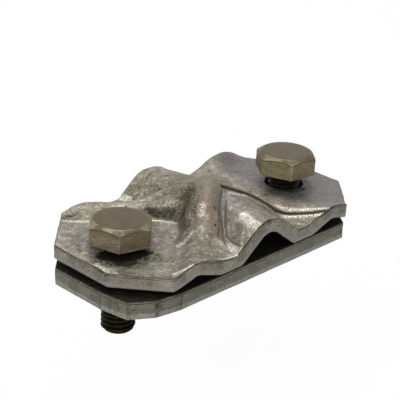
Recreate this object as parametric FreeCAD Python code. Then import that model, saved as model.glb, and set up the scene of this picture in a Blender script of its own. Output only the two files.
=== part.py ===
"""Two-bolt galvanised connector for flat strip and round conductor.

A flat base plate with two tapped holes carries a pressed cover plate. The cover has one straight
channel across its middle, for round conductor, and two diagonal ribs that cross over it in a star.
Two hexagon bolts, threaded to the head, go through the cover into the base plate.

Millimetres. X runs along the row of bolts, Y across the plates, Z up. The origin is midway between
the bolts on the base plate's top face, on which the strip or round conductor is clamped.
"""
import FreeCAD, Part
import os
from math import asin, atan2, cos, hypot, pi, radians, sin, tan

Vec = FreeCAD.Vector

# Plates
plate_length = 100.0
plate_width = 50.0
base_thickness = 5.5
cover_thickness = 4.2
bolt_spacing = 70.0

# Each trimmed corner is a row of points, as distances from the end edge and from the side edge.
# The cover's corners are alike at opposite ends.
cover_near_left = ((0, 13.8), (11.5, 0))
cover_near_right = ((14.5, 0), (0, 14.2))
cover_corner_radius = 1.5
cover_hole_clearance = 1.0          # radial, round the bolts
base_near_left = ((0, 14.5), (1.6, 5.5), (8.4, 1.3), (16.5, 0))
base_near_right = ((13.3, 0), (0, 16.8))
base_far_right = ((0, 14.5), (1.6, 5.5), (8.4, 1.3), (16.5, 0))
base_far_left = ((17.0, 0), (0, 16.8))
base_corner_radius = 1.5
base_edge_radius = 0.5              # round the sheared edges
base_offset = -1.7                  # the base plate's middle, from midway between the bolts

# Relief of the cover's underside, as heights above the base plate's top face
pad_height = 1.2                    # flat bolt pads stand this high over the seats
arch_crest_radius = 6.0             # inner radius along the crest of the straight channel
arch_height_edge = 7.3              # at the long edges
arch_height_middle = 9.8
arch_foot = 11.6                    # half width at the seats
rib_angle = 40.0                    # of the diagonal ribs, from the X axis
rib_crest_radius = 2.2
rib_height_middle = 11.6
rib_crossing_drop = 0.3             # the second rib crosses this much under the first
rib_height_end = 3.1
rib_pad_foot = 4.9                  # half width at the pads, on one side
rib_seat_foot = 6.2                 # and at the seats, on the other
rib_bell = 27.0                     # distance over which the rib falls to its end height

# Bolts
thread_diameter = 10.0
thread_clearance = 0.05             # radial, in the tapped holes
bolt_length = 28.0
bolt_end_chamfer = 1.0
head_width = 17.0                   # across flats
head_height = 6.4
head_chamfer_angle = 30.0
head_crown_diameter = 15.4
left_head_gap = 1.1                 # under the head, over the cover's pad
right_head_gap = 3.9
left_head_turn = 45.0               # degrees from the X axis to a corner of the hexagon
right_head_turn = 52.5

# Construction sizes
overrun = 6.0                       # forms run this far past the outline before they are trimmed
floor_depth = 3.0                   # forms reach this far below the seats


def trimmed_outline(near_left, near_right, far_right, far_left, radius):
    """Plate outline with its four corners trimmed and all vertices rounded."""
    half_l = plate_length / 2
    half_w = plate_width / 2
    corners = [(x - half_l, y - half_w) for x, y in near_left]
    corners += [(half_l - x, y - half_w) for x, y in near_right]
    corners += [(half_l - x, half_w - y) for x, y in far_right]
    corners += [(x - half_l, half_w - y) for x, y in far_left]
    face = Part.Face(Part.makePolygon([Vec(x, y, 0) for x, y in corners + corners[:1]]))
    solid = face.extrude(Vec(0, 0, 1))
    uprights = [e for e in solid.Edges if abs(e.tangentAt(e.FirstParameter).z) > 0.9]
    rounded = solid.makeFillet(radius, uprights)
    low = min(rounded.Faces, key=lambda f: f.CenterOfMass.z)
    return low.OuterWire


def plate_block(outline, z_low, z_high):
    """Solid between two levels inside an outline."""
    face = Part.Face(outline)
    face.translate(Vec(0, 0, z_low - outline.BoundBox.ZMin))
    return face.extrude(Vec(0, 0, z_high - z_low))


def hill_section(crest, radius, left_foot, right_foot, left_level, right_level, thickness):
    """Closed section of a rounded ridge: flank, crest arc, flank and a floor line.

    Each flank is the tangent from its foot point to the crest arc. The section of the outer face
    is the inner one moved out by the thickness, so the pressed wall keeps its gauge.
    """

    def flank_angle(foot, level):
        rise = crest - radius - level
        return atan2(rise, foot) + asin(radius / hypot(foot, rise))

    left = flank_angle(left_foot, left_level)
    right = flank_angle(right_foot, right_level)
    outer = radius + thickness
    centre = crest - radius
    touch_left = (-outer * sin(left), centre + outer * cos(left))
    touch_right = (outer * sin(right), centre + outer * cos(right))
    floor = -floor_depth
    foot_left = (touch_left[0] - (touch_left[1] - floor) / tan(left), floor)
    foot_right = (touch_right[0] + (touch_right[1] - floor) / tan(right), floor)
    return foot_left, touch_left, (0.0, centre + outer), touch_right, foot_right


def bell(distance, reach):
    """One in the middle, nought from the reach outwards, level at both ends."""
    return 0.5 * (1 + cos(pi * min(abs(distance) / reach, 1.0)))


def ridge(direction, half_length, stations, section_at):
    """Loft of hill sections along a horizontal line through the origin."""
    along = Vec(cos(direction), sin(direction), 0)
    across = Vec(-sin(direction), cos(direction), 0)
    wires = []
    for index in range(-stations, stations + 1):
        distance = half_length * index / stations
        origin = along * distance
        points = [origin + across * t + Vec(0, 0, z) for t, z in section_at(distance)]
        a, b, top, c, d = points
        wires.append(Part.Wire([Part.LineSegment(a, b).toShape(), Part.Arc(b, top, c).toShape(),
                                Part.LineSegment(c, d).toShape(), Part.LineSegment(d, a).toShape()]))
    return Part.makeLoft(wires, True, False)


def arch(thickness):
    """Straight channel across the plate, a little higher in the middle."""
    half_length = plate_width / 2 + overrun

    def section_at(distance):
        crest = arch_height_edge + (arch_height_middle - arch_height_edge) * bell(distance, plate_width / 2)
        return hill_section(crest, arch_crest_radius, arch_foot, arch_foot, 0.0, 0.0, thickness)

    return ridge(pi / 2, half_length, 6, section_at)


def rib(side, thickness):
    """Diagonal rib; side is +1 or -1. Its pad side ends on the pad, the other on the seat."""
    half_length = plate_length / 2
    middle = rib_height_middle if side > 0 else rib_height_middle - rib_crossing_drop

    def section_at(distance):
        share = bell(distance, rib_bell)
        crest = rib_height_end + (middle - rib_height_end) * share
        pad = (rib_pad_foot, pad_height)
        seat = (rib_seat_foot, pad_height * share)
        left, right = (seat, pad) if distance * side < 0 else (pad, seat)
        return hill_section(crest, rib_crest_radius, left[0], right[0], left[1], right[1], thickness)

    return ridge(side * radians(rib_angle), half_length, 8, section_at)


def pad_wedges(z_high):
    """The two bolt pads: all that lies between the ribs' centre lines, up to a level."""
    reach = plate_length
    rise = reach * tan(radians(rib_angle))
    solids = []
    for end in (-1, 1):
        corners = [Vec(0, 0, -floor_depth), Vec(end * reach, -rise, -floor_depth),
                   Vec(end * reach, rise, -floor_depth), Vec(0, 0, -floor_depth)]
        solids.append(Part.Face(Part.makePolygon(corners)).extrude(Vec(0, 0, z_high + floor_depth)))
    return solids


def relief(thickness):
    """The raised forms under one face of the cover: pads, straight channel and ribs."""
    return pad_wedges(pad_height + thickness) + [arch(thickness), rib(1, thickness), rib(-1, thickness)]


def hollow_ribs(plate):
    """True when the space under all four rib ends is open, as pressing leaves it."""
    reach = 0.35 * plate_length
    angles = [side * radians(rib_angle) for side in (1, -1)]
    probes = [Vec(end * reach * cos(a), end * reach * sin(a), rib_height_end / 2)
              for a in angles for end in (1, -1)]
    return not any(plate.isInside(probe, 0.01, True) for probe in probes)


def make_cover():
    outline = trimmed_outline(cover_near_left, cover_near_right, cover_near_left, cover_near_right,
                              cover_corner_radius)
    block = plate_block(outline, 0.0, rib_height_middle + cover_thickness + overrun)
    span = plate_length + plate_width
    seats = Part.makeBox(2 * span, 2 * span, floor_depth + cover_thickness, Vec(-span, -span, -floor_depth))
    plate = block.common(seats.fuse(relief(cover_thickness)))
    for form in relief(0.0):
        plate = plate.cut(form)
    if not hollow_ribs(plate):
        raise ValueError("a rib of the cover plate is not hollow")
    hole_radius = thread_diameter / 2 + cover_hole_clearance
    for end in (-1, 1):
        drill = Part.makeCylinder(hole_radius, 4 * cover_thickness,
                                  Vec(end * bolt_spacing / 2, 0, -cover_thickness))
        plate = plate.cut(drill)
    return plate.removeSplitter()


def make_base():
    outline = trimmed_outline(base_near_left, base_near_right, base_far_right, base_far_left,
                              base_corner_radius)
    block = plate_block(outline, -base_thickness, 0.0)
    rims = [e for e in block.Edges if e.BoundBox.ZLength < 1e-6]
    plate = block.makeFillet(base_edge_radius, rims)
    plate.translate(Vec(base_offset, 0, 0))
    for end in (-1, 1):
        tapping = Part.makeCylinder(thread_diameter / 2 + thread_clearance, 2 * base_thickness,
                                    Vec(end * bolt_spacing / 2, 0, -1.5 * base_thickness))
        plate = plate.cut(tapping)
    return plate


def make_bolt(x, head_gap, turn):
    """Hexagon bolt, its head at a gap over the pad, its thread at the nominal diameter."""
    seat = pad_height + cover_thickness + head_gap
    corner = head_width / (2 * cos(pi / 6))
    top = seat + head_height
    crown = head_crown_diameter / 2
    drop = (corner - crown) * tan(radians(head_chamfer_angle))
    thread = thread_diameter / 2
    end = seat - bolt_length
    half_section = [(0, end), (thread - bolt_end_chamfer, end), (thread, end + bolt_end_chamfer),
                    (thread, seat), (corner, seat), (corner, top - drop), (crown, top), (0, top)]
    wire = Part.makePolygon([Vec(r, 0, z) for r, z in half_section + half_section[:1]])
    turned = Part.Face(wire).revolve(Vec(0, 0, 0), Vec(0, 0, 1), 360)
    angles = [radians(turn + 60 * k) for k in range(7)]
    hexagon = Part.makePolygon([Vec(corner * cos(a), corner * sin(a), seat) for a in angles])
    prism = Part.Face(hexagon).extrude(Vec(0, 0, head_height))
    shank = Part.makeCylinder(thread, seat - end, Vec(0, 0, end))
    bolt = turned.common(prism.fuse(shank)).removeSplitter()
    bolt.translate(Vec(x, 0, 0))
    return bolt


def one_solid(shape):
    """The single solid of a result; each piece here is made as one."""
    if len(shape.Solids) != 1 or not shape.isValid():
        raise ValueError("a piece did not come out as one sound solid")
    return shape.Solids[0]


def main():
    os.makedirs("parts", exist_ok=True)
    half = bolt_spacing / 2
    pieces = {
        "base_plate": make_base(),
        "cover_plate": make_cover(),
        "left_bolt": make_bolt(-half, left_head_gap, left_head_turn),
        "right_bolt": make_bolt(half, right_head_gap, right_head_turn),
    }
    for name, shape in pieces.items():
        solid = one_solid(shape)
        solid.exportStep(f"parts/{name}.step")
        print(name, round(solid.Volume, 1), "mm3")


main()
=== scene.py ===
"""Looks of the two-bolt galvanised connector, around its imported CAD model.

Metres. X runs along the row of bolts, Y across the plates, Z up. The origin is midway between the
bolts on the base plate's top face.
"""

from functools import partialmethod
from math import cos, pi, radians, sin, tan

import bmesh
import bpy
import numpy as np
from mathutils import Matrix, Vector


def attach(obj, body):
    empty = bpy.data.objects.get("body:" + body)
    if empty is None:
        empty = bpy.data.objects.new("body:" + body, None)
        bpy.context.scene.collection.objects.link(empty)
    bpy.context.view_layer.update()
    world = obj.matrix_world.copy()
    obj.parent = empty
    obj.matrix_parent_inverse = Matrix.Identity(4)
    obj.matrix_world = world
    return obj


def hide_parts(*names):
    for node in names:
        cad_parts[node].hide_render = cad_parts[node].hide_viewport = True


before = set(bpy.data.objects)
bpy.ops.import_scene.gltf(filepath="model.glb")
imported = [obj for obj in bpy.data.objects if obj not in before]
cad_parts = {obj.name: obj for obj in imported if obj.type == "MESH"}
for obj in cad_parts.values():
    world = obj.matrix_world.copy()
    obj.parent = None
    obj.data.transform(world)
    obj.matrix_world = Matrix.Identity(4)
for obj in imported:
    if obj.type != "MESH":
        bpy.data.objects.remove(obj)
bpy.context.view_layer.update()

bl_info = {
    "name": "Galvanised strip connector",
    "version": (1, 0, 0),
    "blender": (4, 5, 0),
    "location": "3D View > Sidebar > Connector",
    "description": "Makes the plates, bolts and stage of a two-bolt connector for strip and round "
                   "conductor",
    "category": "Add Mesh",
}

MM = 0.001


def length_mm(name, millimetres, description):
    """A length in metres, given in millimetres."""
    return bpy.props.FloatProperty(name=name, description=description, default=millimetres * MM,
                                   unit="LENGTH", precision=5)


def turn_degrees(name, degrees, description):
    return bpy.props.FloatProperty(name=name, description=description, default=radians(degrees),
                                   subtype="ANGLE")


def tint(name, colour, description):
    """A colour of a finish, as linear shares of red, green and blue."""
    return bpy.props.FloatVectorProperty(name=name, description=description, default=colour,
                                         size=3, subtype="COLOR", min=0, max=1)


class PlateSizes(bpy.types.PropertyGroup):
    """Sizes that both plates share."""
    length: length_mm("Length", 100, "Along the row of bolts")
    width: length_mm("Width", 50, "Across the row of bolts")
    spacing: length_mm("Bolt spacing", 70, "Between the two bolts")
    edge_radius: length_mm("Edge radius", 0.55, "Rounding of the sheared edges")
    cell: length_mm("Cell", 0.42, "Side of one face on the pressed cover")
    base_cell: length_mm("Base cell", 0.8, "Side of one face on the flat base")
    block: length_mm("Hole block", 8, "Half side of the square of rings round a hole")


class CoverSizes(bpy.types.PropertyGroup):
    """Relief of the pressed cover plate, as heights of its underside over the base plate."""
    gauge: length_mm("Gauge", 4.2, "Wall thickness with its zinc")
    pad: length_mm("Pad height", 1.2, "Height of the flat bolt pads")
    arch_radius: length_mm("Arch radius", 6, "Inner crest radius of the channel")
    arch_edge: length_mm("Arch height at the edges", 7.3, "Crest of the channel")
    arch_middle: length_mm("Arch height in the middle", 9.8, "Crest of the channel")
    arch_foot: length_mm("Arch foot", 11.6, "Half width of the channel")
    rib_angle: turn_degrees("Rib angle", 40, "From the row of bolts")
    rib_radius: length_mm("Rib radius", 2.2, "Inner crest radius of the ribs")
    rib_middle: length_mm("Rib height in the middle", 11.5, "Crest where the ribs cross")
    rib_end: length_mm("Rib height at the ends", 3.1, "Crest at the plate's edges")
    rib_pad_foot: length_mm("Rib foot at the pads", 4.9, "Half width of a rib on one side")
    rib_seat_foot: length_mm("Rib foot at the seats", 6.2, "Half width on the other side")
    arch_reach: length_mm("Arch reach", 25, "Half length of the channel")
    rib_bell: length_mm("Rib bell", 27, "Over which a rib falls to its end height")
    blend: length_mm("Blend", 0.6, "Width over which two forms run together")
    step: length_mm("Pad step", 1.0, "Width of the step from seat to pad")
    hole: length_mm("Hole radius", 6, "Clearance holes for the bolts")


class BaseSizes(bpy.types.PropertyGroup):
    """Sizes of the flat base plate."""
    gauge: length_mm("Gauge", 5.5, "Thickness with its zinc")
    offset: length_mm("Offset", -1.7, "Its middle, from midway between the bolts")
    hole: length_mm("Hole radius", 5.05, "Tapped holes, at the outside of the thread")


class BoltSizes(bpy.types.PropertyGroup):
    """Sizes of the hexagon bolts."""
    flats: length_mm("Across flats", 17, "Width of the head")
    head: length_mm("Head height", 6.4, "Height of the head")
    crown: length_mm("Crown radius", 7.7, "Flat disc on top of the head")
    thread: length_mm("Thread radius", 5, "Outside of the thread")
    pitch: length_mm("Pitch", 1.5, "Advance of the thread in one turn")
    length: length_mm("Length", 28, "Under the head")
    left_gap: length_mm("Left head gap", 1.1, "From the pad to the left head")
    right_gap: length_mm("Right head gap", 3.9, "From the pad to the right head")
    left_turn: turn_degrees("Left head turn", 45, "From X to a corner")
    right_turn: turn_degrees("Right head turn", 52.5, "From X to a corner")


class FinishColours(bpy.types.PropertyGroup):
    """Colours of the finishes."""
    zinc: tint("Zinc", (0.335, 0.31, 0.255), "Clean grey of the coating")
    # Rubbed zinc: pale flecks, worn zinc, and painted highlights along crests, rims and the marked lines
    rubbed_and_highlight: tint("Rubbed zinc", (0.69, 0.65, 0.54), "Pale zinc on crests and rims")
    # Glint: painted highlight specks on the brightest of those places
    glint: tint("Glint", (0.95, 0.92, 0.84), "Specks of the most rubbed places")
    warm: tint("Warm zinc", (0.215, 0.19, 0.13), "Yellowish patches of the coating")
    dull: tint("Dull zinc", (0.125, 0.11, 0.08), "Brownish weathered zinc")
    # The darkest colour: soiling, and painted shade under the cover, in holes and creases and round the
    # left head
    dirt_and_shade: tint("Dirt_and_shade", (0.009, 0.0085, 0.005), "Dark dirt in hollows")
    brown: tint("Brown stain", (0.21, 0.145, 0.1), "Pinkish brown stain")
    green: tint("Green stain", (0.115, 0.122, 0.078), "Greenish weathering of edges and hollows")
    cool: tint("Smooth zinc", (0.142, 0.125, 0.122), "Bluish grey, smooth coating")
    violet: tint("Violet tarnish", (0.155, 0.13, 0.158), "Patches of the smooth coating")
    edge: tint("Sheared edge", (0.41, 0.38, 0.31), "Sheared edges")
    edge_dark: tint("Sheared edge, dark", (0.195, 0.184, 0.14), "Streaks of sheared edges")
    edge_foot: tint("Edge foot", (0.36, 0.352, 0.315), "Pale strip along the foot of an edge")
    bolt: tint("Bolt", (0.09, 0.069, 0.031), "Brownish plated steel")
    # Bolt edge: worn steel and painted highlight on chamfers, corners and lower rims
    bolt_rub_and_highlight: tint("Bolt edge", (0.43, 0.38, 0.26), "Rubbed edges of the bolt heads")
    bolt_blush: tint("Bolt blush", (0.32, 0.25, 0.18), "Pinkish sides of the bolt heads")
    bolt_olive: tint("Bolt olive", (0.325, 0.295, 0.175), "Olive sides of the bolt heads")
    # Bolt shade: painted shade under the heads and along the seams below the shoulders, and the dark of the
    # threads
    bolt_dark: tint("Bolt shade", (0.006, 0.0058, 0.003), "Oiled dark of the threads")


# Trimmed corners in millimetres from the end edge and from the side edge: near left, near right,
# far right and far left
COVER_CORNERS = (((0, 13.8), (11.5, 0)), ((14.5, 0), (0, 14.2))) * 2
BASE_LONG_CORNER = ((0, 14.5), (1.6, 5.5), (8.4, 1.3), (16.5, 0))
BASE_CORNERS = (BASE_LONG_CORNER, ((13.3, 0), (0, 16.8)), BASE_LONG_CORNER, ((17.0, 0), (0, 16.8)))
CORNER_SIGNS = ((-1, -1), (1, -1), (1, 1), (-1, 1))

# Marks on the cover in millimetres: half width, strength, then x and y of each point of a line.
# The creases are pressed in as well as painted dark with their shade.
# Pale marks: painted highlights and glints along pad edges, rib crests, the trough and rims, with some worn
# zinc
RUBS_AND_HIGHLIGHTS = (
    (0.8, 0.9, -38, 21, -32.5, 16.5, -17.5, 5.6, -14.8, 1.8, -13.4, -1.5),
    (1.3, 0.5, -14.2, -17.5, -12.4, -20.5, -12.1, -24.6),
    (0.5, 0.8, -20, -24.2, -15.4, -24.1, -12.4, -24.8),
    (1, 1, 14.6, -14.8, 15.5, -16.5, 17.5, -18, 19.4, -19.6, 23.2, -22.2, 26.5, -24.1),
    (0.7, 0.8, -24, 12.5, -17.5, 8.2),
    (0.9, 0.9, 14, -18, 15.5, -19, 18.1, -20.7, 20.8, -22.5, 23.8, -24.6),
    (0.6, 0.7, 0.8, -7.3, 2.9, -9, 5.6, -9.7), (1.8, 0.6, -3.8, -17.7, -4.7, -21, -4.7, -24),
    (1.2, 1, -12.8, 24.2, -12.3, 22.4, -12.2, 21), (1.1, 0.7, -15.8, 17, -14.8, 15.3),
    (0.9, 0.9, -36.4, -22.9, -34, -23.8, -31.5, -24.8),
    (0.9, 0.6, -48.8, -5.1, -48.4, -7.8, -49.2, -10.2), (1.2, 0.2, -44, -13.5, -38, -21),
    (2.4, 0.45, -21, 16.5, -15, 10.5), (0.9, 0.7, -17.8, -10.9, -24.1, -11.8),
    (1.4, 0.5, -9.8, -6.7, -12.1, -8.7),
)
# Dark lines of painted shade along the arch's contour, the right rib and the band; they are pressed in too
SHADED_CREASES = (
    (0.72, 1, 0.8, -4.5, 2.3, -6.1, 5, -7.9, 7.7, -9.6, 10, -11.5, 11.6, -13.5, 12.7, -15.4),
    (0.75, 1, 12.7, -15.4, 14.2, -16.9, 16.1, -18.4, 18.7, -20.1, 21.8, -22.3, 25.4, -24.3, 26.8, -25),
    (0.5, 0.5, -0.7, -5.8, -4, -8.5, -7, -11.1, -10, -13.8, -13.1, -16.9),
    (1.1, 0.62, -5.8, 1.8, -8.5, 1.1, -10.3, 0.3, -13.4, -2.1, -15.8, -7.2),
)
# Dark marks: painted shade in creases and beside the ribs, the painted shadow in front of the left head,
# painted shade over the middle, and soiling
DIRT_AND_SHADE = SHADED_CREASES + (
    (1.5, 0.6, -6.7, 0.3, -9.8, 1.2, -12.5, 0.2),
    (1.4, 0.74, -17.2, 8.3, -16.4, 6.8, -15.1, 4.8, -12.5, 2.3), (1.2, 0.5, -36.5, 23, -33.8, 21.3),
    (0.5, 0.62, -2.9, -9.6, -6.5, -13, -8.9, -15.6, -10.3, -17.5, -10.9, -20.1, -11, -23.2),
    (0.5, 0.5, -18.7, 14.6, -16.3, 12, -13.4, 8.7, -10.4, 5.6, -7.1, 2.9),
    (3.6, 1, -43, -3, -41.5, -6.2, -38.5, -8, -35, -7.7), (0.9, 0.9, -12.8, -25, -6.2, -25, -0.2, -25),
    (4.5, 0.3, 27, -5, 30, -8.5), (1.8, 0.6, 29, -2.5, 31, -6, 35, -7.5),
    (0.9, 0.3, -14, -9, -20.8, -12.5, -25.7, -15.5, -31.6, -19.5),
    (0.6, 0.72, -11.6, 19.8, -12.1, 17.6, -11.5, 15, -9.9, 12.2, -7.5, 9, -5.5, 6),
    (1.3, 0.5, -6.4, 1.1, -8.9, -0.4, -12.1, -2.8, -14.6, -4.8, -16.9, -6.3, -21.4, -9.1),
    (0.4, 0.8, -12.3, -6.4, -12.5, -6.7), (0.35, 0.7, -13.1, -8, -13.3, -8.3),
    (0.4, 1, -7.5, -9.5, -7.7, -9.7), (0.4, 0.9, -10.2, -6.5, -10.5, -6.7),
    (0.7, 0.8, -35.3, 22.4, -34.4, 21.7), (1.5, 0.55, -44, -9.5, -42.3, -11, -39.5, -11.6, -36.5, -11.2),
    (1.5, 0.78, -44.2, -8.6, -42.3, -10.6, -39.8, -11.2), (7, 0.3, 10, 9, 2, 7, -2, 1),
    (3, 0.2, -30, 15, -20, 8.5, -12, 5),
)
BROWN = (
    (2, 0.4, -12.5, -4.9, -15.8, -7.2, -20.8, -10.9, -25.7, -13.9, -31.6, -18.4, -36.1, -22.3),
    (2.2, 0.8, -6.5, -4.5, -8.6, -9.9, -11.3, -13.6, -12.7, -16), (5, 0.2, 2, -2, -6, 3),
    (1.2, 0.8, 2.3, -6.1, 7.7, -9.6, 12.7, -15.4, 18.7, -20.1, 25.4, -24.3),
)
# Dark specks of soiling, and speckled painted shade in the pocket, beside the left rib and in front of the
# left head
SPECKS_AND_SHADE = (
    (3.3, 1, -45.4, -3.6, -44.2, -7.4, -42, -10, -38, -11.2, -33.5, -10.6), (3, 0.35, -29, -8, -26, -5),
    (4.5, 0.5, 29.9, -6.5, 28.4, -10.6), (3.5, 0.5, -16, 8, -8, 3), (2.2, 0.7, -38.5, 22.5, -33.5, 21),
    (2.2, 0.75, -6, 2, -12, 0.5, -15.8, -7), (1.8, 0.7, -17.5, 8.5, -15, 4.8, -12.5, 2.3),
    (2, 0.4, -26, -5, -24, -11, -30, -16), (3, 0.6, -12, -4, -8, 1), (2.5, 0.4, -14, -6, -24, -12),
)
GREEN = (
    (3, 0.8, 26.2, -2.5, 28, -5.5, 29.9, -8, 30.5, -13.5),
    (4.6, 0.9, -45.8, -5.5, -43.5, -9.5, -40, -11.5, -34.5, -12),
)
WARM = (
    (8, 0.8, -32, 25, -14, 11, 0, 0), (10, 0.3, -9, 4, -9, 20), (8, 0.3, 0, 0, 12, 7),
    (6, 0.6, -14, -9, -6, -3),
)
DULL = (
    (10, 1.3, 12, 8, 2, 6, -2, 1), (7, 1.2, 0, 0, -7, -5), (5, 0.45, -12, -9, -20, -16, -28, -22),
    (5, 0.2, -8, 12, -16, 16), (3, 0.3, -37, -22, -30, -23, -19, -23),
    (2.5, 0.7, -46, -13.5, -42, -18, -38.5, -22.5),
)
SMOOTH = (
    (9, 0.45, -2, -12, 1, -20), (8, 0.3, -42, 8, -24, 8), (7, 0.35, -27, 3, -25, -7),
)
COVER_MARKS = {"rub_and_highlight": RUBS_AND_HIGHLIGHTS, "dirt_and_shade": DIRT_AND_SHADE, "speckle_and_shade": SPECKS_AND_SHADE, "brown": BROWN, "green": GREEN,
               "warm": WARM, "smooth": SMOOTH, "dull": DULL}

# Upright marks on the base plate's edge, in millimetres: place on the outline and strength
EDGE_SEAMS = ((-51.7, -10.2, 0.9), (-51.2, -13.6, 0.6), (-50.1, -19.5, 0.8), (-43.3, -23.7, 0.8),
              (-35.2, -25, 0.7), (-51.7, -8.6, 0.5), (35, -25, 0.5))

# The six flats of each head, from its first corner: share of pinkish low down, of olive high up, and
# the height, as a share of the head's, at which one gives way to the other
HEAD_TONES = {"left": ((0.6, 0.5, 0.4), (0.7, 0.4, 0.5), (0.85, 0.5, 0.55), (0.5, 0.75, 0.3),
                       (0.5, 0.6, 0.4), (0.6, 0.5, 0.4)),
              "right": ((0.6, 0.6, 0.3), (0.5, 0.7, 0.2), (0.3, 0.95, -0.1), (0.8, 0.8, 0.1),
                        (0.5, 0.6, 0.3), (0.5, 0.6, 0.3))}

# Places where the pressed plate is sprung up or down: centre, reach and lift in millimetres
WARPS = ((35, 25.5, 8, 1.8), (28, 27, 7, 0.9), (44, 25.5, 6, -0.6), (-7, 26.5, 8, 1.0),
         (-50, 22, 16, 1.0))

# Faint dents of the pressed plate: cell and height in millimetres, seed
DENTS = ((5, 0.14, 3), (1.7, 0.06, 4))

NEAR = 1e-6  # metres, or a share, that count as nothing
LATTICE = 64  # values along one side of the noise's lattice, which repeats
LATTICE_MIDDLE = 1000.5  # keeps every place on the lattice above nought
ARC_STEPS, WALL_STEPS = 4, 8  # faces of each rounded edge and of the wall between them
RAGGEDNESS = 0.12 * MM  # of the sheared edges
CREASE_DEPTH = 0.3 * MM
CREASE_ANGLE = radians(8)  # facets of a wall that meet at more are shaded apart
BEND_REACH = 0.8 * MM  # distance over which the relief's bend is measured
SEAM_REACH = 0.8 * MM  # half width of an upright mark
GROOVE = 0.88 * MM  # depth of the thread
ZINC_SPECULAR = 0.25

# Lamps aimed at the origin: name, place, side, power
LAMPS = (("key_lamp", (0.27, 0.3, 0.84), 0.3, 3.6), ("left_lamp", (-0.75, 0.15, 0.5), 0.3, 1.2),
         ("front_lamp", (-0.6, -0.6, 0.3), 0.4, 3.3))
FLOOR_REACH, FLOOR_LEVEL = 4.0, -0.045
SENSOR_MM, PICTURE_PIXELS = 36, 400


def outline(plate, corners):
    """Corner points of a plate, anticlockwise."""
    half = np.array([plate.length, plate.width]) / 2
    return np.concatenate([(half - np.array(points) * MM) * sign
                           for points, sign in zip(corners, CORNER_SIGNS)])


def marked(x, y, lines):
    """Greatest strength of any mark over a point: it holds near the line and falls to nought at the
    half width, as one and a half times one less the squared share, up to one."""
    total = np.zeros_like(x)
    for width, strength, *places in lines:
        points = np.reshape(places, (-1, 2)) * MM
        for start, end in zip(points[:-1], points[1:]):
            run = end - start
            share = np.clip(((x - start[0]) * run[0] + (y - start[1]) * run[1]) / (run @ run), 0, 1)
            away = np.hypot(x - start[0] - share * run[0], y - start[1] - share * run[1])
            total = np.maximum(total, strength * np.clip(1.5 - 1.5 * (away / (width * MM)) ** 2, 0, 1))
    return total


def inset(corners, distance):
    """Each edge line moves in by the distance, and the corners are where neighbours meet again."""
    run = np.roll(corners, -1, axis=0) - corners
    run /= np.linalg.norm(run, axis=1, keepdims=True)
    inward = np.stack([-run[:, 1], run[:, 0]], axis=1)
    offset = (corners * inward).sum(axis=1) + distance
    before = np.roll(inward, 1, axis=0)
    offset_before = np.roll(offset, 1)
    cross = before[:, 0] * inward[:, 1] - before[:, 1] * inward[:, 0]
    x = (offset_before * inward[:, 1] - offset * before[:, 1]) / cross
    y = (before[:, 0] * offset - inward[:, 0] * offset_before) / cross
    return np.stack([x, y], axis=1)


def sides(corners, y):
    """Left and right ends of the outline's chord at each height y."""
    (x0, y0), (x1, y1) = corners.T, np.roll(corners, -1, axis=0).T
    level = np.abs(y1 - y0) < 1e-9
    share = (y[:, None] - y0) / np.where(level, 1, y1 - y0)
    inside = (share > -NEAR) & (share < 1 + NEAR) & ~level
    x = x0 + np.clip(share, 0, 1) * (x1 - x0)
    return np.where(inside, x, np.inf).min(axis=1), np.where(inside, x, -np.inf).max(axis=1)


def runs(*stops, cell):
    """Even steps of about one cell between each pair of stops, each stop taken once."""
    parts = [np.linspace(a, b, max(int(round((b - a) / cell)), 1) + 1)[:-1]
             for a, b in zip(stops[:-1], stops[1:])]
    return np.concatenate(parts + [[stops[-1]]])


def band(rows):
    """Quads between rows of points that each run once round. The first index is the row."""
    following = np.roll(rows, -1, axis=1)
    return np.stack([rows[:-1], rows[1:], following[1:], following[:-1]], axis=-1).reshape(-1, 4)


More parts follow.
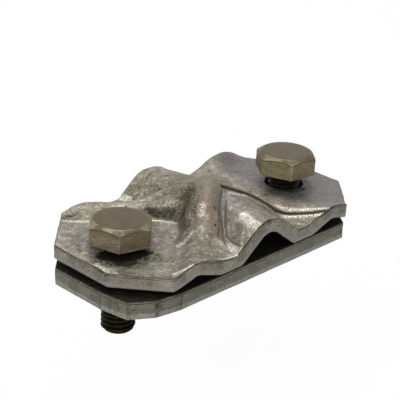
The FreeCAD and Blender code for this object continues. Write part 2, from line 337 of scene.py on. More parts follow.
def plate_plan(corners, spacing, hole_radius, block, cell, rings=7):
    """Plan points, faces and rims of a plate with two holes.

    The points form a grid: rows at even Y, columns at even X that squeeze together where the outline
    narrows. A square of cells round each hole gives way to rings, in which a point goes straight from
    the square's side to the circle.
    """
    stops = [-block, block]
    for y in sorted(corners[:, 1]):
        if min(abs(y - stop) for stop in stops) > 0.1 * cell:
            stops.append(y)
    rows = runs(*sorted(stops), cell=cell)
    left, right = sides(corners, rows)
    first, last = sides(corners, np.zeros(1))
    half = spacing / 2
    columns = runs(first[0], -half - block, block - half, half - block, half + block, last[0], cell=cell)
    hold = half - block - cell
    x = np.broadcast_to(columns, (len(rows), len(columns))).copy()
    squeeze_left = -hold + (x + hold) * ((left + hold) / (first[0] + hold))[:, None]
    squeeze_right = hold + (x - hold) * ((right - hold) / (last[0] - hold))[:, None]
    x = np.where(x < -hold, squeeze_left, np.where(x > hold, squeeze_right, x))
    plan = np.stack([x, np.broadcast_to(rows[:, None], x.shape)], axis=-1).reshape(-1, 2)
    index = np.arange(x.size).reshape(x.shape)
    keep = np.ones((x.shape[0] - 1, x.shape[1] - 1), bool)
    down, up = np.searchsorted(rows, [-block - NEAR, block - NEAR])
    ring_points, ring_faces, hole_rims = [], [], []
    count = x.size
    for centre in (-half, half):
        a, b = np.searchsorted(columns, [centre - block - NEAR, centre + block - NEAR])
        keep[down:up, a:b] = False
        loop = np.concatenate([index[down, a:b], index[down:up, b], index[up, b:a:-1],
                               index[up:down:-1, a]])
        square = plan[loop]
        away = square - [centre, 0]
        circle = [centre, 0] + away / np.linalg.norm(away, axis=1, keepdims=True) * hole_radius
        share = (np.arange(1, rings + 1) / rings)[:, None, None]
        ring_points.append((square + (circle - square) * share).reshape(-1, 2))
        inner = count + np.arange(rings * len(loop)).reshape(rings, -1)
        count += inner.size
        ring_faces.append(band(np.concatenate([loop[None], inner]))[:, [0, 3, 2, 1]])
        hole_rims.append(inner[-1])
    cells = np.stack([index[:-1, :-1], index[:-1, 1:], index[1:, 1:], index[1:, :-1]], axis=-1)[keep]
    rim = np.concatenate([index[0, :-1], index[:-1, -1], index[-1, :0:-1], index[:0:-1, 0]])
    faces = np.concatenate([cells] + ring_faces)
    plan = np.concatenate([plan] + ring_points)
    used, packed = np.unique(faces, return_inverse=True)
    renumber = np.zeros(len(plan), int)
    renumber[used] = np.arange(len(used))
    return plan[used], packed.reshape(-1, 4), renumber[rim], [renumber[r] for r in hole_rims]


def outward(points):
    """Unit plan normals of a closed loop of points, to its right."""
    along = np.roll(points, -1, axis=0) - np.roll(points, 1, axis=0)
    normal = np.stack([along[:, 1], -along[:, 0]], axis=1)
    return normal / np.linalg.norm(normal, axis=1, keepdims=True)


def lattice_noise(x, y, cell, seed):
    """Smooth noise between minus one and one: random values on a square lattice, joined by cubic
    steps in X and in Y."""
    values = np.random.default_rng(seed).uniform(-1, 1, (LATTICE, LATTICE))
    u, v = x / cell + LATTICE_MIDDLE, y / cell + LATTICE_MIDDLE
    i, j = np.floor(u).astype(int), np.floor(v).astype(int)
    u, v = u - i, v - j
    u, v = u * u * (3 - 2 * u), v * v * (3 - 2 * v)
    near, far = ((1 - u) * values[row % LATTICE, i % LATTICE] + u * values[row % LATTICE, (i + 1) % LATTICE]
                 for row in (j, j + 1))
    return near * (1 - v) + far * v


def softer_max(a, b, width):
    """The greater of a and b, run together over a width: the mean, plus half of the root of the
    squared difference and the squared width."""
    return 0.5 * (a + b + np.sqrt((a - b) ** 2 + width ** 2))


def bell(distance, reach):
    """One in the middle, nought from the reach outwards: half of one plus a cosine."""
    return 0.5 * (1 + np.cos(pi * np.minimum(np.abs(distance) / reach, 1)))


def hill(across, crest, radius, feet, levels, gauge):
    """Height of a rounded ridge over a point beside its line.

    A crest arc of the radius plus the gauge runs into a straight flank on each side. Each flank is
    the tangent from its foot point to the inner arc, moved out by the gauge. Feet and levels are
    those of the side that the point is on.
    """
    outer = radius + gauge
    centre = crest - radius
    rise = centre - levels
    angle = np.arctan2(rise, feet) + np.arcsin(radius / np.hypot(feet, rise))
    offset = np.abs(across)
    touch = outer * np.sin(angle)
    arc = centre + np.sqrt(np.maximum(outer ** 2 - np.minimum(offset, touch) ** 2, 0))
    flank = centre + outer * np.cos(angle) - (offset - touch) * np.tan(angle)
    return np.where(offset < touch, arc, flank)


def relief_forms(x, y, size, gauge):
    """Heights of the four forms over a point: pads and seats, arch, and the two ribs."""
    beside = np.abs(x) * sin(size.rib_angle) - np.abs(y) * cos(size.rib_angle)
    step = np.clip(beside / size.step + 0.5, 0, 1)
    forms = [size.pad * step * step * (3 - 2 * step) + gauge]
    crest = size.arch_edge + (size.arch_middle - size.arch_edge) * bell(y, size.arch_reach)
    forms.append(hill(x, crest, size.arch_radius, size.arch_foot, 0.0, gauge))
    for side in (1, -1):
        along = x * cos(size.rib_angle) + side * y * sin(size.rib_angle)
        across = y * cos(size.rib_angle) - side * x * sin(size.rib_angle)
        share = bell(along, size.rib_bell)
        crest = size.rib_end + (size.rib_middle - size.rib_end) * share
        by_pad = across * along * side < 0
        feet = np.where(by_pad, size.rib_pad_foot, size.rib_seat_foot)
        levels = np.where(by_pad, size.pad, size.pad * share)
        forms.append(hill(across, crest, size.rib_radius, feet, levels, gauge))
    return forms


def cover_height(x, y, size, gauge):
    """Height of one face of the cover over a point: its four forms, run together by the softer
    maximum. A gauge of nought gives the underside."""
    total, *raised = relief_forms(x, y, size, gauge)
    for form in raised:
        total = softer_max(total, form, size.blend)
    return total - size.blend * 0.5


def warp(x, y):
    """Lift of the sprung places over a point: each is its lift times a bell of the distance."""
    return sum(lift * MM * bell(np.hypot(x - a * MM, y - b * MM), reach * MM)
               for a, b, reach, lift in WARPS)


def plate_mesh(plate, corners, hole, cell, both_faces, grain, seed):
    """Closed shell of a plate: its two faces, whose heights over the plan are given by a function,
    and a wall with quarter-round edges along each rim. Noise of a grain pushes the outer wall in.

    Gives vertices and faces, and four values for each vertex: how near it is to the middle of a
    rounded edge, whether it is on a wall, how far down the wall it is, and whether it is underneath.
    """
    radius = plate.edge_radius
    plan, faces, rim, hole_rims = plate_plan(inset(corners, radius), plate.spacing, hole + radius,
                                             plate.block, cell)
    top, bottom = both_faces(*plan.T)
    count = len(plan)
    vertices = [np.column_stack([plan, top]), np.column_stack([plan, bottom])]
    layers = [np.zeros((2 * count, 4))]
    layers[0][count:, 3] = 1
    all_faces = [faces, faces[:, ::-1] + count]
    total = 2 * count
    arc = np.linspace(0, pi / 2, ARC_STEPS + 1)[1:]
    straight = np.linspace(0, 1, WALL_STEPS + 1)[1:-1]
    turn = np.concatenate([arc, np.full(len(straight), pi / 2), arc[::-1]])
    depth = np.concatenate([0 * arc, straight, 0 * arc + 1])
    values = np.stack([np.sin(2 * turn), 1 - np.cos(turn), depth, 0 * depth], axis=1)
    drop = radius * (1 - np.cos(arc))[:, None]
    for number, loop in enumerate([rim] + hole_rims):
        points = plan[loop]
        out = outward(points) if number == 0 else -outward(points)
        high, low = top[loop], bottom[loop]
        heights = np.concatenate([high - drop,
                                  high - radius + (low - high + 2 * radius) * straight[:, None],
                                  low + drop[::-1]])
        push = np.full_like(heights, radius)
        if number == 0:
            push += (lattice_noise(points.sum(axis=1), heights, grain, seed) - 1) * RAGGEDNESS
        push *= np.sin(turn)[:, None]
        rows = np.concatenate([points + out * push[..., None], heights[..., None]], axis=-1)
        vertices.append(rows.reshape(-1, 3))
        layers.append(np.repeat(values, len(loop), axis=0))
        inner = total + np.arange(heights.size).reshape(heights.shape)
        total += inner.size
        quads = band(np.concatenate([loop[None], inner, loop[None] + count]))
        all_faces.append(quads if number == 0 else quads[:, ::-1])
    return np.concatenate(vertices), np.concatenate(all_faces), *np.concatenate(layers).T


def crease_facets(mesh):
    """Uprights between two wall facets that meet at more than the crease angle are shaded sharp."""
    shell = bmesh.new()
    shell.from_mesh(mesh)
    for edge in shell.edges:
        upright = all(abs(face.normal.z) < 0.3 for face in edge.link_faces)
        run = edge.verts[1].co - edge.verts[0].co
        if upright and abs(run.z) > run.xy.length and edge.calc_face_angle(0) > CREASE_ANGLE:
            edge.smooth = False
    shell.to_mesh(mesh)
    shell.free()


def linked(name, data):
    """A new object of the scene."""
    item = bpy.data.objects.new(name, data)
    bpy.context.scene.collection.objects.link(item)
    return item


def new_piece(name, vertices, faces, material, body, replaced, layers, creased=False):
    """A smooth-shaded mesh from arrays that stands for a CAD node and rides on its body."""
    mesh = bpy.data.meshes.new(name)
    mesh.from_pydata(vertices.tolist(), [], [face for group in faces for face in group.tolist()])
    mesh.shade_smooth()
    for layer, values in layers.items():
        attribute = mesh.attributes.new(layer, "FLOAT", "POINT")
        attribute.data.foreach_set("value", values.astype(np.float32))
    mesh.materials.append(material)
    if creased:
        crease_facets(mesh)
    piece = linked(name, mesh)
    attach(piece, body)
    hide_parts(replaced)


# Materials

class Nodes:
    """Short ways to add nodes to one tree. A value is a plain one or the output socket of a node."""

    def __init__(self, tree):
        self.tree = tree

    def feed(self, node, values):
        """Links or sets each of the node's inputs that is named or numbered."""
        for key, value in values.items():
            socket = node.inputs[key]
            if isinstance(value, bpy.types.NodeSocket):
                self.tree.links.new(value, socket)
            else:
                socket.default_value = (*value, 1) if socket.type == "RGBA" else value

    def add(self, kind, values=None, **settings):
        """Makes a node and gives its outputs."""
        node = self.tree.nodes.new(kind)
        for key, value in settings.items():
            setattr(node, key, value)
        self.feed(node, values or {})
        return node.outputs

    def noise(self, place, scale, detail, roughness):
        values = {"Vector": place, "Scale": scale, "Detail": detail, "Roughness": roughness}
        return self.add("ShaderNodeTexNoise", values)["Fac"]

    def span(self, value, low, high, to_low=0, to_high=1):
        """Value taken from one range to another, smoothly, and kept within it."""
        values = {"Value": value, "From Min": low, "From Max": high, "To Min": to_low, "To Max": to_high}
        return self.add("ShaderNodeMapRange", values, interpolation_type="SMOOTHSTEP")["Result"]

    def maths(self, operation, first, *others, clamp=False):
        """The operation taken with each further value in turn; only the end result is clamped."""
        for left, value in zip(range(len(others), 0, -1), others):
            first = self.add("ShaderNodeMath", {0: first, 1: value}, operation=operation,
                             use_clamp=clamp and left == 1)[0]
        return first

    times = partialmethod(maths, "MULTIPLY")
    plus = partialmethod(maths, "ADD")
    less = partialmethod(maths, "SUBTRACT")
    greatest = partialmethod(maths, "MAXIMUM")

    def mix(self, share, a, b, blend="MIX"):
        values = {"Factor": share, "A": a, "B": b}
        return self.add("ShaderNodeMix", values, data_type="RGBA", blend_type=blend)["Result"]

    def shaded(self, colour, noise, darkest, lightest):
        """Colour times a factor that follows the noise."""
        return self.mix(1.0, colour, self.span(noise, 0.3, 0.7, darkest, lightest), "MULTIPLY")


FINISH_SOCKETS = {"Colour": "Color", "Roughness": "Float", "Metallic": "Float", "Height": "Float"}


def finish_group(name, colours):
    """A node group from a place and masks to a colour, a roughness, a share of bare metal and a height
    as a share of the bump distance. Materials of the same finish share one group."""
    if name in bpy.data.node_groups:
        return bpy.data.node_groups[name]
    finish, masks = FINISHES[name]
    tree = bpy.data.node_groups.new(name, "ShaderNodeTree")
    tree.interface.new_socket("Vector", in_out="INPUT", socket_type="NodeSocketVector")
    for mask in masks:
        tree.interface.new_socket(mask, in_out="INPUT", socket_type="NodeSocketFloat")
    for socket, kind in FINISH_SOCKETS.items():
        tree.interface.new_socket(socket, in_out="OUTPUT", socket_type="NodeSocket" + kind)
    nodes = Nodes(tree)
    start = nodes.add("NodeGroupInput")
    nodes.add("NodeGroupOutput", dict(zip(FINISH_SOCKETS, finish(nodes, start["Vector"], start, colours))))
    return tree


def zinc_finish(nodes, place, mask, colours):
    """Hot-dip zinc: grey blotches with yellowish patches, fine mottle, dark pits and specks, pale worn
    places and painted highlights with painted glints, brown and green stains, dark soiling and painted
    shade, and a smooth coating with violet patches. Sheared walls have a dark lip, dark dashes half way
    down and a pale strip along the foot."""
    mix, span, times, plus = nodes.mix, nodes.span, nodes.times, nodes.plus
    patches = nodes.noise(place, 60, 3, 0.5)
    blotch = nodes.noise(place, 170, 5, 0.6)
    mottle = nodes.noise(place, 640, 4, 0.65)
    pepper = nodes.noise(place, 1100, 2, 0.6)
    grain = nodes.noise(place, 2300, 3, 0.6)
    wall_mask = mask["Wall"]
    rough_part = nodes.less(1, mask["Smooth"], clamp=True)

    tone = plus(span(blotch, 0.3, 0.64, 0.18, 0.95), span(mottle, 0.3, 0.7, -0.37, 0.37), mask["Tone"],
                clamp=True)
    colour = mix(tone, colours.dull, colours.zinc)
    colour = mix(span(patches, 0.42, 0.6, 0, 0.6), colour, colours.warm)
    colour = mix(times(mask["Warm"], span(mottle, 0.64, 0.4, 0.35, 1)), colour, colours.warm)
    smooth = mix(span(blotch, 0.42, 0.6, 0, 0.45), colours.cool, colours.green)
    smooth = nodes.shaded(smooth, mottle, 0.82, 1.2)
    smooth = mix(span(patches, 0.48, 0.58, 0, 0.5), smooth, colours.violet)
    colour = mix(mask["Smooth"], colour, smooth)
    fleck = times(span(mottle, 0.54, 0.68, 0, 0.55), rough_part, span(mask["Tone"], -1, 0, 0.3, 1))
    colour = mix(fleck, colour, colours.rubbed_and_highlight)

    cloudy = plus(span(blotch, 0.36, 0.62, 0, 0.7), span(mottle, 0.35, 0.65, 0, 0.3))
    wall = mix(cloudy, colours.edge, colours.edge_dark)
    strip = plus(mask["Depth"], span(blotch, 0.3, 0.7, -0.06, 0.06))
    foot = times(span(strip, 0.72, 0.78), span(mottle, 0.3, 0.6, 0.5, 1))
    wall = mix(foot, wall, colours.edge_foot)
    colour = mix(wall_mask, colour, wall)

    green = times(mask["Green"], span(blotch, 0.62, 0.42, 0.15, 1),
                  nodes.less(1, times(foot, wall_mask)))
    colour = mix(green, colour, colours.green)
    brown = times(mask["Brown"], span(mottle, 0.36, 0.58))
    colour = mix(brown, colour, colours.brown)
    grainy = times(rough_part, span(wall_mask, 0, 1, 1, 0.5))
    colour = mix(grainy, colour, nodes.shaded(colour, grain, 0.6, 1.42))
    # Pale worn zinc and painted highlights, on the listed lines, the crests and the rims
    rub_and_highlight = times(mask["Rub_and_highlight"], span(grain, 0.36, 0.54, 0.1, 1), clamp=True)
    colour = mix(rub_and_highlight, colour, colours.rubbed_and_highlight)
    # Painted glints: near-white specks on the brightest highlights
    glint = times(span(rub_and_highlight, 0.35, 0.75), span(grain, 0.53, 0.61, 0, 0.6))
    colour = mix(glint, colour, colours.glint)

    pit = times(span(mottle, 0.4, 0.34), span(patches, 0.4, 0.56), rough_part, 0.75)
    # Dark soiling and painted shade, from the mask that holds both
    ragged = plus(mask["Dirt_and_shade"], span(mottle, 0.3, 0.7, -0.14, 0.14))
    line = times(span(ragged, 0.1, 0.98), span(grain, 0.3, 0.56, 1, 0.94))
    lip = times(span(strip, 0.02, 0.06), span(strip, 0.14, 0.09), wall_mask,
                span(blotch, 0.35, 0.55, 0.1, 0.7))
    dash = times(span(strip, 0.4, 0.44), span(strip, 0.52, 0.48), wall_mask,
                 span(mottle, 0.5, 0.57, 0, 0.6), span(patches, 0.5, 0.54))
    # Dark specks of soiling, and speckled painted shade
    speckle_and_shade = times(mask["Speckle_and_shade"], span(pepper, 0.56, 0.42, 0, 0.9), clamp=True)
    dark = nodes.greatest(pit, line, speckle_and_shade, lip, dash)
    # Brownish near-black for both soiling and painted shade
    soil_and_shade = mix(times(brown, 0.25), colours.dirt_and_shade, colours.brown)
    colour = mix(dark, colour, soil_and_shade)

    rough = plus(span(blotch, 0.3, 0.7, 0.36, 0.5), times(dark, 0.3))
    bare = plus(nodes.greatest(times(rub_and_highlight, 0.4), dark), 0.1, clamp=True)
    height = plus(times(mottle, 0.3), times(grain, 0.12), times(blotch, 0.4))
    height = times(height, span(mask["Smooth"], 0, 1, 1, 0.3))
    return colour, rough, bare, nodes.less(height, times(dark, 0.1))


def steel_finish(nodes, place, mask, colours):
    """Plated bolt steel: satin brown grey with level streaks, pinkish and olive flats, pale worn edges
    with painted highlights, painted shade under the head and a dark thread."""
    mix, span, times, plus = nodes.mix, nodes.span, nodes.times, nodes.plus
    cloud = nodes.noise(place, 220, 4, 0.6)
    fine = nodes.noise(place, 1500, 3, 0.6)
    squashed = nodes.add("ShaderNodeMapping", {"Vector": place, "Scale": (1, 1, 6)})["Vector"]
    streak = nodes.noise(squashed, 500, 3, 0.6)
    colour = nodes.shaded(colours.bolt, cloud, 0.8, 1.2)
    colour = mix(times(mask["Blush"], span(streak, 0.25, 0.6)), colour, colours.bolt_blush)
    colour = mix(times(mask["Olive"], span(streak, 0.7, 0.3, 0.4, 1)), colour, colours.bolt_olive)
    colour = nodes.shaded(colour, fine, 0.84, 1.16)
    # Pale worn steel and painted highlights on the lit side of the chamfer, the corners and the rims
    rub_and_highlight = times(mask["Rub_and_highlight"], span(cloud, 0.4, 0.58, 0.25, 1), clamp=True)
    colour = mix(rub_and_highlight, colour, colours.bolt_rub_and_highlight)
    # Painted shade under the head and along the seam below the shoulder, and the dark thread
    grime_and_shade = times(mask["Grime_and_shade"], span(fine, 0.25, 0.6, 0.8, 1), clamp=True)
    colour = mix(grime_and_shade, colour, colours.bolt_dark)
    rough = plus(span(cloud, 0.3, 0.7, 0.32, 0.46), times(grime_and_shade, 0.2))
    bare = span(grime_and_shade, 0, 1, 0.2, 0.9)
    return colour, rough, bare, plus(times(streak, 0.06), times(fine, 0.03))


FINISHES = {
    "Zinc coating": (zinc_finish, ("Rub_and_highlight", "Dirt_and_shade", "Speckle_and_shade", "Brown", "Green", "Warm", "Smooth", "Tone",
                                   "Wall", "Depth")),
    "Plated steel": (steel_finish, ("Rub_and_highlight", "Grime_and_shade", "Blush", "Olive")),
}


def new_material(name, finish, layers, specular, bump_distance, **fixed):
    """A material of one Principled shader fed by a finish group on Object coordinates. Its masks are
    the mesh layers of the same names, or fixed values."""
    material = bpy.data.materials.new(name)
    material.use_nodes = True
    nodes = Nodes(material.node_tree)
    shader = material.node_tree.nodes["Principled BSDF"]
    shader.inputs["Specular IOR Level"].default_value = specular
    values = {layer.capitalize(): nodes.add("ShaderNodeAttribute", attribute_name=layer)["Fac"]
              for layer in layers}
    values.update(fixed, Vector=nodes.add("ShaderNodeTexCoord")["Object"])
    group = finish_group(finish, bpy.context.scene.connector_colours)
    finish = nodes.add("ShaderNodeGroup", values, node_tree=group)
    bump = nodes.add("ShaderNodeBump", {"Strength": 1.0, "Distance": bump_distance,
                                        "Height": finish["Height"]})
    nodes.feed(shader, {"Base Color": finish["Colour"], "Roughness": finish["Roughness"],
                        "Metallic": finish["Metallic"], "Normal": bump["Normal"]})
    return material


# Pieces

def beside_holes(x, y, plate):
    """Distance in plan from the nearer bolt's axis."""
    return np.hypot(np.abs(x) - plate.spacing / 2, y)


class ConnectorCover(bpy.types.Operator):
    """Makes the pressed cover plate with its arch, ribs, pads and mottled zinc"""
    bl_idname = "connector.cover"
    bl_label = "Cover plate"

    def faces(self, x, y, plate, size):
        """Heights of the top, with faint dents away from the holes and pressed creases, and of the
        underside."""
        flat = np.clip((beside_holes(x, y, plate) - size.hole) / (2 * MM), 0, 1)
        top = cover_height(x, y, size, size.gauge) + warp(x, y)
        for cell, swing, seed in DENTS:
            top += lattice_noise(x, y, cell * MM, seed) * swing * MM * flat
        top -= marked(x, y, SHADED_CREASES) * CREASE_DEPTH
        return top, np.maximum(cover_height(x, y, size, 0.0), 0.0) + warp(x, y)

    def execute(self, context):
        scene = context.scene
        plate, size = scene.connector_plate, scene.connector_cover
        vertices, faces, edge, wall, depth, under = plate_mesh(
            plate, outline(plate, COVER_CORNERS), size.hole, plate.cell,
            lambda x, y: self.faces(x, y, plate, size), grain=3 * MM, seed=7)
        x, y, z = vertices.T
        around = [cover_height(x + BEND_REACH * a, y + BEND_REACH * b, size, size.gauge)
                  for a, b in ((1, 0), (-1, 0), (0, 1), (0, -1))]
        bend = (sum(around) - 4 * cover_height(x, y, size, size.gauge)) / BEND_REACH ** 2 * MM
        upper = 1 - np.maximum.reduce([wall, depth, under])
        # The hole walls are painted dark with their shade.
        in_hole = (beside_holes(x, y, plate) < size.hole + 0.4 * MM) & (wall > 0.5)
        lip = edge * (depth == 0) * (0.72 + 0.3 * lattice_noise(x + y, z, 5 * MM, 11))
        smooth_from = plate.spacing / 2 - 12 * MM
        layers = {name: marked(x, y, lines) * upper for name, lines in COVER_MARKS.items()}
        dull = layers.pop("dull")
        # Convex crests are paler: worn zinc and painted highlight. Concave places are darker: painted
        # shade.
        crest = np.clip(-bend * 1.2 - 0.15, 0, 0.6) * np.clip(1 - dull, 0, 1) * upper
        hollow = np.clip(bend - 0.25, 0, 0.6) * upper
        layers.update({
            "rub_and_highlight": np.maximum.reduce([layers["rub_and_highlight"], crest, 0.3 * edge * (depth == 1)]),
            # Painted shade in concave places, on the underside between the plates and on the hole walls,
            # with the marked soiling and a dark top rim
            "dirt_and_shade": np.maximum.reduce([layers["dirt_and_shade"], hollow, lip, 0.95 * under, 0.95 * in_hole]),
            "brown": np.maximum(layers["brown"], 0.17 * wall),
            "smooth": np.maximum(layers["smooth"], np.clip((x - smooth_from) / (6 * MM), 0, 0.85) * upper),
            "tone": -dull, "wall": wall, "depth": depth})
        material = new_material("Mottled zinc", "Zinc coating", layers, ZINC_SPECULAR, 0.5 * MM)
        new_piece("pressed_cover", vertices, [faces], material, "cover", "cover_plate",
                  layers, creased=True)
        return {"FINISHED"}


class ConnectorBase(bpy.types.Operator):
    """Makes the flat base plate with its trimmed corners and dull zinc"""
    bl_idname = "connector.base"
    bl_label = "Base plate"

    def execute(self, context):
        scene = context.scene
        plate, size = scene.connector_plate, scene.connector_base
        vertices, faces, edge, wall, depth, _ = plate_mesh(
            plate, outline(plate, BASE_CORNERS) + [size.offset, 0], size.hole, plate.base_cell,
            lambda x, y: (np.zeros_like(x), np.full_like(x, -size.gauge)), grain=4 * MM, seed=9)
        x, y, z = vertices.T
        # The top face, which lies in the shade under the cover, is painted dark: painted shade. The top rim
        # is dark too, and upright dark marks run down the edge.
        base_dirt_and_shade = np.maximum(1.1 * (z > -0.1 * MM), 0.8 * edge * (depth == 0))
        for a, b, strength in EDGE_SEAMS:
            near = np.clip(1 - np.hypot(x - a * MM, y - b * MM) / SEAM_REACH, 0, 1)
            base_dirt_and_shade = np.maximum(base_dirt_and_shade, strength * near * wall)
        layers = {"rub_and_highlight": 0.3 * edge * depth, "dirt_and_shade": base_dirt_and_shade, "green": 0.9 * wall, "wall": wall,
                  "depth": depth}
        material = new_material("Dull zinc", "Zinc coating", layers, ZINC_SPECULAR, 0.4 * MM, Tone=-0.3)
        new_piece("flat_base", vertices, [faces], material, "base", "base_plate", layers,
                  creased=True)
        return {"FINISHED"}


# Parts of a bolt's surface
CROWN, CHAMFER, SHOULDER, FLAT, RIM, UNDERSIDE, THREAD = range(7)


def hexagon_radius(angle, flats):
    """Distance from the axis to a hexagon whose corners are a little rounded: the inverse of the
    80th root of the sum of the 80th powers of the inverse distances to its six sides."""
    middles = radians(30) + radians(60) * np.arange(6)
    towards = np.maximum(np.cos(angle[..., None] - middles), 0) / (flats / 2)
    return (towards ** 80).sum(axis=-1) ** (-1 / 80)


def thread_rings(size, seat, angle, bevel):
    """Radius and height of a thread. Its radius is a rounded triangle wave of height over pitch less
    the share of a turn. The groove starts flat under the head and is cut off by the end's bevel."""
    end = seat - size.length
    steps = int(size.length / size.pitch * 12)
    height = np.linspace(seat - 0.3 * MM, end + 0.05 * MM, steps)[:, None]
    phase = (height / size.pitch - angle / (2 * pi)) % 1
    tooth = np.clip((np.abs(2 * phase - 1) - 0.1) / 0.78, 0, 1)
    tooth = tooth * tooth * (3 - 2 * tooth) * 0.35 + tooth * 0.65
    runout = np.clip((seat - height) / (1.6 * MM), 0, 1)
    radius = size.thread - GROOVE * (1 - tooth * runout)
    return np.minimum(radius, size.thread - bevel + height - end), height


def bolt_surface(size, seat, turn, columns=144):
    """Angle, radius, height and part of a hexagon bolt's surface.

    The rows go from the middle of the crown over the chamfer cone, down the flats, in under the
    head, down the thread and over the end's bevel to the middle of the end.
    """
    angle = np.arange(columns) * 2 * pi / columns
    hexagon = hexagon_radius(angle - turn, size.flats)
    crown, thread = size.crown, size.thread
    top, end = seat + size.head, seat - size.length
    slope = tan(radians(30))
    shoulder = top - (hexagon - crown) * slope
    soft, bevel = 0.14 * MM, 1.0 * MM
    cone = [crown + soft + (hexagon - crown - 2 * soft) * share for share in (0.1, 0.35, 0.7)]
    high, low = shoulder - 1.6 * soft, seat + 2 * soft
    rings = [
        (0.35 * crown, top, CROWN), (0.7 * crown, top, CROWN), (crown - soft, top, CROWN),
        (crown + 0.3 * soft, top - 0.3 * soft, CHAMFER),
        *((radius, top - (radius - crown) * slope - 0.1 * soft, CHAMFER) for radius in cone),
        (hexagon - soft, shoulder + 0.35 * soft, SHOULDER),
        (hexagon - 0.25 * soft, shoulder - 0.35 * soft, SHOULDER),
        *((hexagon, high + (low - high) * share, FLAT) for share in (0, *np.linspace(0.15, 0.85, 6))),
        (hexagon, seat + 2.5 * soft, FLAT), (hexagon - 0.4 * soft, seat + 0.6 * soft, RIM),
        (hexagon - 1.6 * soft, seat, UNDERSIDE), (0.5 * (hexagon + thread), seat, UNDERSIDE),
        (thread + 2 * soft, seat, UNDERSIDE),
        *((radius, height, THREAD) for radius, height in zip(*thread_rings(size, seat, angle, bevel))),
        (thread - bevel - 0.1 * MM, end, THREAD), (0.5 * thread, end, THREAD)]
    rings = [np.broadcast_arrays(angle, *ring)[1:] for ring in rings]
    return angle, *np.array(rings).swapaxes(0, 1)


def bolt_layers(angle, radius, level, part, turn, worn_and_lit_side, chamfer_wear_and_sheen, tones, size):
    """Masks of a bolt's pale, dark and tinted places over its angle and row. The chamfer and its lower
    shoulder are pale most towards one side, by the cosine of the angle from it: worn steel and painted
    highlight of the lit side. The corners, the lower rim and the thread's crests are pale too, worn and
    painted highlight, and a thin seam under the shoulder is dark. The underside of the head is painted
    dark with its shade, and the thread is dark. Each flat runs from its own share of pinkish at its foot
    to its own share of olive at its top. Level is the height over the seat as a share of the head."""
    towards = np.clip(np.cos(angle - worn_and_lit_side), 0, 1)
    past_middle = (angle - turn + radians(30)) % radians(60) - radians(30)
    corner = np.clip(1 - np.abs(past_middle) / radians(2.5), 0, 1)
    crest = np.clip((radius - size.thread) / (0.35 * MM) + 1, 0, 1)
    face = ((angle - turn) % (2 * pi) // radians(60)).astype(int) % 6
    blush, olive, split = np.array(tones).T
    high = np.clip((level - split[face]) / 0.25, 0, 1)
    foot = np.clip(1 - level / 0.1, 0, 1)
    seam = (part == FLAT) & (np.roll(part, 1, axis=0) == SHOULDER)
    rub_and_highlight = np.select([part == CHAMFER, part == SHOULDER, part == FLAT, part == RIM, part == THREAD],
                    [chamfer_wear_and_sheen * (0.2 + 0.7 * towards), 0.25 + 0.6 * towards,
                     np.maximum(0.6 * corner, 0.65 * foot), 0.9, 0.1 * crest])
    grime_and_shade = np.select([seam, part == UNDERSIDE, part == THREAD], [0.5, 1.0, 1 - 0.1 * crest])
    return {"rub_and_highlight": rub_and_highlight, "grime_and_shade": grime_and_shade,
            "blush": (part == FLAT) * blush[face] * (1 - high),
            "olive": (part == FLAT) * olive[face] * high}


class ConnectorBolts(bpy.types.Operator):
    """Makes the two hexagon bolts with their threads"""
    bl_idname = "connector.bolts"
    bl_label = "Bolts"

    def execute(self, context):
        scene = context.scene
        size, cover = scene.connector_bolt, scene.connector_cover
        half = scene.connector_plate.spacing / 2
        material = new_material("Plated bolt steel", "Plated steel", ("rub_and_highlight", "grime_and_shade", "blush", "olive"),
                                0.2, 0.2 * MM)
        # Each bolt's worn and lit side of the chamfer, and how strongly the chamfer is painted pale: wear
        # and painted highlight
        for side, x, gap, turn, worn_and_lit_side, chamfer_wear_and_sheen in (
                ("left", -half, size.left_gap, size.left_turn, radians(215), 0.8),
                ("right", half, size.right_gap, size.right_turn, radians(185), 0.35)):
            seat = cover.pad + cover.gauge + gap
            angle, radius, height, part = bolt_surface(size, seat, turn)
            layers = bolt_layers(angle, radius, (height - seat) / size.head, part, turn, worn_and_lit_side, chamfer_wear_and_sheen,
                                 HEAD_TONES[side], size)
            body = np.stack([x + radius * np.cos(angle), radius * np.sin(angle), height], axis=-1)
            poles = [[x, 0, seat + size.head], [x, 0, seat - size.length]]
            vertices = np.concatenate([body.reshape(-1, 3), poles])
            index = np.arange(radius.size).reshape(radius.shape)
            following = np.roll(index, -1, axis=1)
            top_pole = np.full(len(angle), radius.size)
            fans = [np.stack([top_pole, index[0], following[0]], axis=-1),
                    np.stack([top_pole + 1, following[-1], index[-1]], axis=-1)]
            layers = {name: np.append(values.ravel(), (0, values[-1, -1]))
                      for name, values in layers.items()}
            new_piece(f"hexagon_bolt_{side}", vertices, [band(index), *fans], material,
                      f"bolt_{side}", f"{side}_bolt", layers)
        return {"FINISHED"}


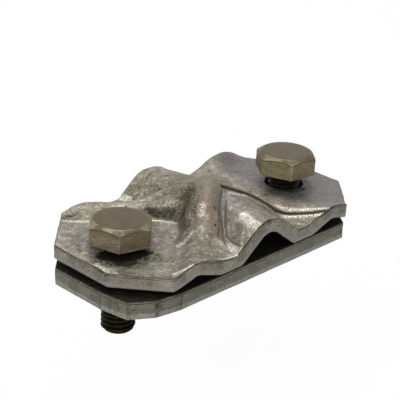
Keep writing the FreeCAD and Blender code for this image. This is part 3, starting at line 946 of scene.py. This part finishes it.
class ConnectorStage(bpy.types.Operator):
    """Makes the floor, the lamps, the sky and the camera"""
    bl_idname = "connector.stage"
    bl_label = "Stage"

    def execute(self, context):
        scene = context.scene
        scene.view_settings.view_transform = "Standard"
        self.floor()
        self.sky(scene)
        for lamp in LAMPS:
            self.lamp(*lamp)
        self.camera(scene)
        return {"FINISHED"}

    def emptied(self, owner):
        owner.use_nodes = True
        owner.node_tree.nodes.clear()
        return Nodes(owner.node_tree)

    def white_where_seen(self, nodes, plain, share):
        """Mixes a shader with plain white for camera, mirror and glass rays."""
        path = nodes.add("ShaderNodeLightPath")
        seen = nodes.greatest(path["Is Camera Ray"], path["Is Glossy Ray"], path["Is Transmission Ray"])
        glow = nodes.add("ShaderNodeEmission", {"Strength": 1.0})[0]
        return nodes.add("ShaderNodeMixShader", {0: nodes.times(seen, share), 1: plain, 2: glow})[0]

    def floor(self):
        mesh = bpy.data.meshes.new("floor")
        mesh.from_pydata([(x * FLOOR_REACH, y * FLOOR_REACH, FLOOR_LEVEL) for x, y in CORNER_SIGNS],
                         [], [(0, 1, 2, 3)])
        material = bpy.data.materials.new("Pale floor")
        nodes = self.emptied(material)
        path = nodes.add("ShaderNodeLightPath")
        colour = nodes.mix(path["Is Camera Ray"], (0.14,) * 3, (1.0,) * 3)
        matt = nodes.add("ShaderNodeBsdfDiffuse", {"Color": colour})[0]
        nodes.add("ShaderNodeOutputMaterial", {"Surface": self.white_where_seen(nodes, matt, 0.96)})
        mesh.materials.append(material)
        linked("floor", mesh)

    def sky(self, scene):
        world = bpy.data.worlds.new("Sky")
        scene.world = world
        nodes = self.emptied(world)
        place = nodes.add("ShaderNodeTexCoord")["Generated"]
        height = nodes.add("ShaderNodeSeparateXYZ", {"Vector": place})["Z"]
        strength = nodes.span(height, 0.05, 0.9, 0.05, 0.5)
        dome = nodes.add("ShaderNodeBackground", {"Color": (1, 1, 1), "Strength": strength})[0]
        nodes.add("ShaderNodeOutputWorld", {"Surface": self.white_where_seen(nodes, dome, 1.0)})

    def lamp(self, name, place, size, power):
        light = bpy.data.lights.new(name, "AREA")
        light.shape = "SQUARE"
        light.size = size
        light.energy = power
        lamp = linked(name, light)
        lamp.location = place
        lamp.rotation_euler = (-Vector(place)).to_track_quat("-Z", "Y").to_euler()

    def camera(self, scene):
        """The photograph's view: azimuth from straight in front, elevation, roll, distance."""
        azimuth, elevation, roll = radians(-47.232), radians(23.834), radians(3.363)
        target = Vector((7.406, 10.073, 3.0)) * MM
        distance, focal_pixels = 367.721 * MM, 1194.484
        back = Vector((sin(azimuth) * cos(elevation), -cos(azimuth) * cos(elevation), sin(elevation)))
        level = (-back).cross(Vector((0, 0, 1))).normalized()
        upright = level.cross(-back)
        across = level * cos(roll) + upright * sin(roll)
        up = upright * cos(roll) - level * sin(roll)
        data = bpy.data.cameras.new("camera")
        data.sensor_width = SENSOR_MM
        data.lens = focal_pixels * SENSOR_MM / PICTURE_PIXELS
        data.clip_start = 0.01
        camera = linked("camera", data)
        turn = Matrix((across, up, back)).transposed()
        camera.matrix_world = Matrix.Translation(target + back * distance) @ turn.to_4x4()
        scene.camera = camera


class ConnectorPanel(bpy.types.Panel):
    """Sizes and pieces of the connector"""
    bl_idname = "VIEW3D_PT_connector"
    bl_label = "Strip connector"
    bl_space_type = "VIEW_3D"
    bl_region_type = "UI"
    bl_category = "Connector"

    def draw(self, context):
        for name in SETTINGS:
            box = self.layout.box()
            for key in getattr(context.scene, name).bl_rna.properties.keys():
                if key not in ("rna_type", "name"):
                    box.prop(getattr(context.scene, name), key)
        for operator in PIECES:
            self.layout.operator(operator.bl_idname)


SETTINGS = {"connector_plate": PlateSizes, "connector_cover": CoverSizes, "connector_base": BaseSizes,
            "connector_bolt": BoltSizes, "connector_colours": FinishColours}
PIECES = (ConnectorStage, ConnectorBase, ConnectorCover, ConnectorBolts)


def register():
    for item in (*SETTINGS.values(), *PIECES, ConnectorPanel):
        bpy.utils.register_class(item)
    for name, group in SETTINGS.items():
        setattr(bpy.types.Scene, name, bpy.props.PointerProperty(type=group))


def unregister():
    for name in SETTINGS:
        delattr(bpy.types.Scene, name)
    for item in (ConnectorPanel, *PIECES[::-1], *list(SETTINGS.values())[::-1]):
        bpy.utils.unregister_class(item)


def main():
    register()
    bpy.ops.connector.stage()
    bpy.ops.connector.base()
    bpy.ops.connector.cover()
    bpy.ops.connector.bolts()


if __name__ == "__main__":
    main()
